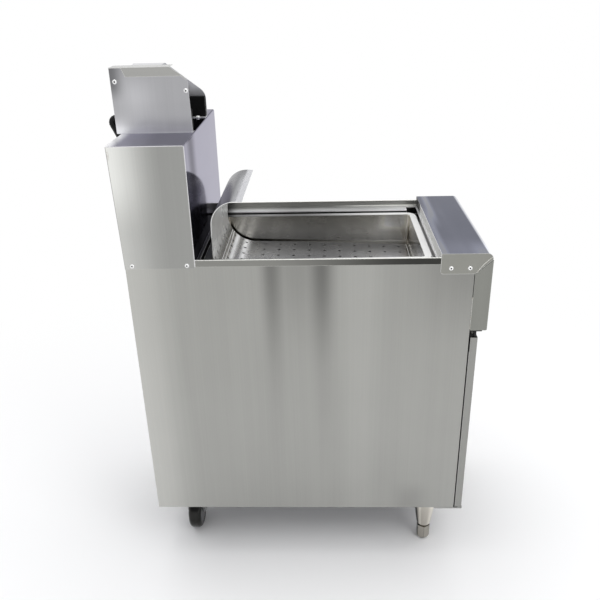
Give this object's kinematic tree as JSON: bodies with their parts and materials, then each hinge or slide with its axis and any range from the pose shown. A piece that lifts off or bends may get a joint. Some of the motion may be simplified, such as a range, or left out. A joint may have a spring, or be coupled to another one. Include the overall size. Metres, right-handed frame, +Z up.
{
  "type": "chip warmer",
  "caption": "Floor-standing stainless chip warmer: lift-out pan with a curved perforated screen under a heat-lamp head on a rear tower, above a cupboard on feet and castors.",
  "frame": {"origin": "on the floor under the middle of the bounding box", "axes": "+X to the user's right at the front, +Y from the front to the back, +Z up"},
  "size_m": [0.4052, 0.7885, 1.151],
  "materials": {
    "panel_steel": "satin, vertical grain",
    "inner_steel": "mill finish",
    "tower_steel": "satin",
    "polished_steel": "polished",
    "pan_steel": "drawn, satin",
    "screen_steel": "polished",
    "screw_steel": "bright",
    "block_black": "matt",
    "heater_sheath": "heat-dulled",
    "ceramic": "unglazed",
    "guard_wire": "bright",
    "conduit_black": "matt",
    "wiring_grey": "matt",
    "switch_black": "gloss",
    "switch_red": "gloss",
    "hinge_black": "satin black",
    "strike_zinc": "zinc plated",
    "leg_chrome": "satin chrome",
    "castor_zinc": "zinc plated",
    "hub_grey": "moulded",
    "castor_tyre": "glossy black"
  },
  "bodies": {
    "cabinet": {"left_side_panel": "panel_steel", "right_side_panel": "panel_steel", "front_fascia": "panel_steel", "front_ledge": "panel_steel", "left_top_rail": "panel_steel", "right_top_rail": "panel_steel", "top_deck": "panel_steel", "cheek_cap": "panel_steel", "back_panel": "inner_steel", "base_frame": "inner_steel", "cabinet_floor": "inner_steel", "fascia_rail": "inner_steel", "tower_back": "inner_steel", "tower_left_side": "tower_steel", "tower_right_side": "tower_steel", "left_cheek": "tower_steel", "right_cheek": "tower_steel", "tower_wrap": "polished_steel", "lamp_hood": "polished_steel", "lamp_reflector": "polished_steel", "ledge_screws": "screw_steel", "tower_screws": "screw_steel", "cheek_screws": "screw_steel", "foot_screw": "screw_steel", "left_lamp_block": "block_black", "right_lamp_block": "block_black", "heater_rod": "heater_sheath", "heater_bushes": "ceramic", "terminal_block": "ceramic", "heater_guard": "guard_wire", "lamp_conduit": "conduit_black", "conduit_glands": "conduit_black", "inlet_gland": "conduit_black", "switch_lead": "conduit_black", "supply_lead": "conduit_black", "lead_clips": "conduit_black", "wiring_box": "wiring_grey", "switch_body": "switch_black", "top_hinge_bracket": "hinge_black", "bottom_hinge_bracket": "hinge_black", "magnetic_catch": "hinge_black", "leg_sleeves": "leg_chrome", "castor_plates": "castor_zinc"},
    "door": {"door_skin": "panel_steel", "door_liner": "inner_steel", "door_hinge_blocks": "hinge_black", "catch_strike": "strike_zinc"},
    "rocker": {"switch_rocker": "switch_red"},
    "pan": {"holding_pan": "pan_steel"},
    "screen": {"perforated_screen": "screen_steel"},
    "left_foot": {"left_foot_insert": "leg_chrome"},
    "right_foot": {"right_foot_insert": "leg_chrome"},
    "left_fork": {"left_castor_fork": "castor_zinc", "left_castor_axle": "castor_zinc"},
    "right_fork": {"right_castor_fork": "castor_zinc", "right_castor_axle": "castor_zinc"},
    "left_wheel": {"left_castor_hub": "hub_grey", "left_castor_tyre": "castor_tyre"},
    "right_wheel": {"right_castor_hub": "hub_grey", "right_castor_tyre": "castor_tyre"}
  },
  "joints": [
    {"name": "door_hinge", "type": "hinge", "parent": "cabinet", "child": "door", "pos_m": [-0.1925, -0.36675, 0.38], "axis": [0, 0, -1], "range_deg": [0, 115]},
    {"name": "switch_rocker_pivot", "type": "hinge", "parent": "cabinet", "child": "rocker", "pos_m": [0.128, -0.38825, 0.7], "axis": [1, 0, 0], "range_deg": [-11, 0]},
    {"name": "pan_lift", "type": "slide", "parent": "cabinet", "child": "pan", "axis": [0, 0, 1], "range_m": [0, 0.15]},
    {"name": "screen_lift", "type": "slide", "parent": "pan", "child": "screen", "axis": [0, 0, 1], "range_m": [0, 0.25]},
    {"name": "left_foot_adjust", "type": "slide", "parent": "cabinet", "child": "left_foot", "axis": [0, 0, 1], "range_m": [-0.025, 0.005]},
    {"name": "left_castor_swivel", "type": "hinge", "parent": "cabinet", "child": "left_fork", "pos_m": [-0.125, 0.28675, 0.131], "axis": [0, 0, 1], "continuous": true},
    {"name": "left_wheel_spin", "type": "hinge", "parent": "left_fork", "child": "left_wheel", "pos_m": [-0.087, 0.28675, 0.05], "axis": [0, 1, 0], "continuous": true},
    {"name": "right_foot_adjust", "type": "slide", "parent": "cabinet", "child": "right_foot", "axis": [0, 0, 1], "range_m": [-0.025, 0.005]},
    {"name": "right_castor_swivel", "type": "hinge", "parent": "cabinet", "child": "right_fork", "pos_m": [0.125, 0.28675, 0.131], "axis": [0, 0, 1], "continuous": true},
    {"name": "right_wheel_spin", "type": "hinge", "parent": "right_fork", "child": "right_wheel", "pos_m": [0.087, 0.28675, 0.05], "axis": [0, 1, 0], "continuous": true}
  ]
}
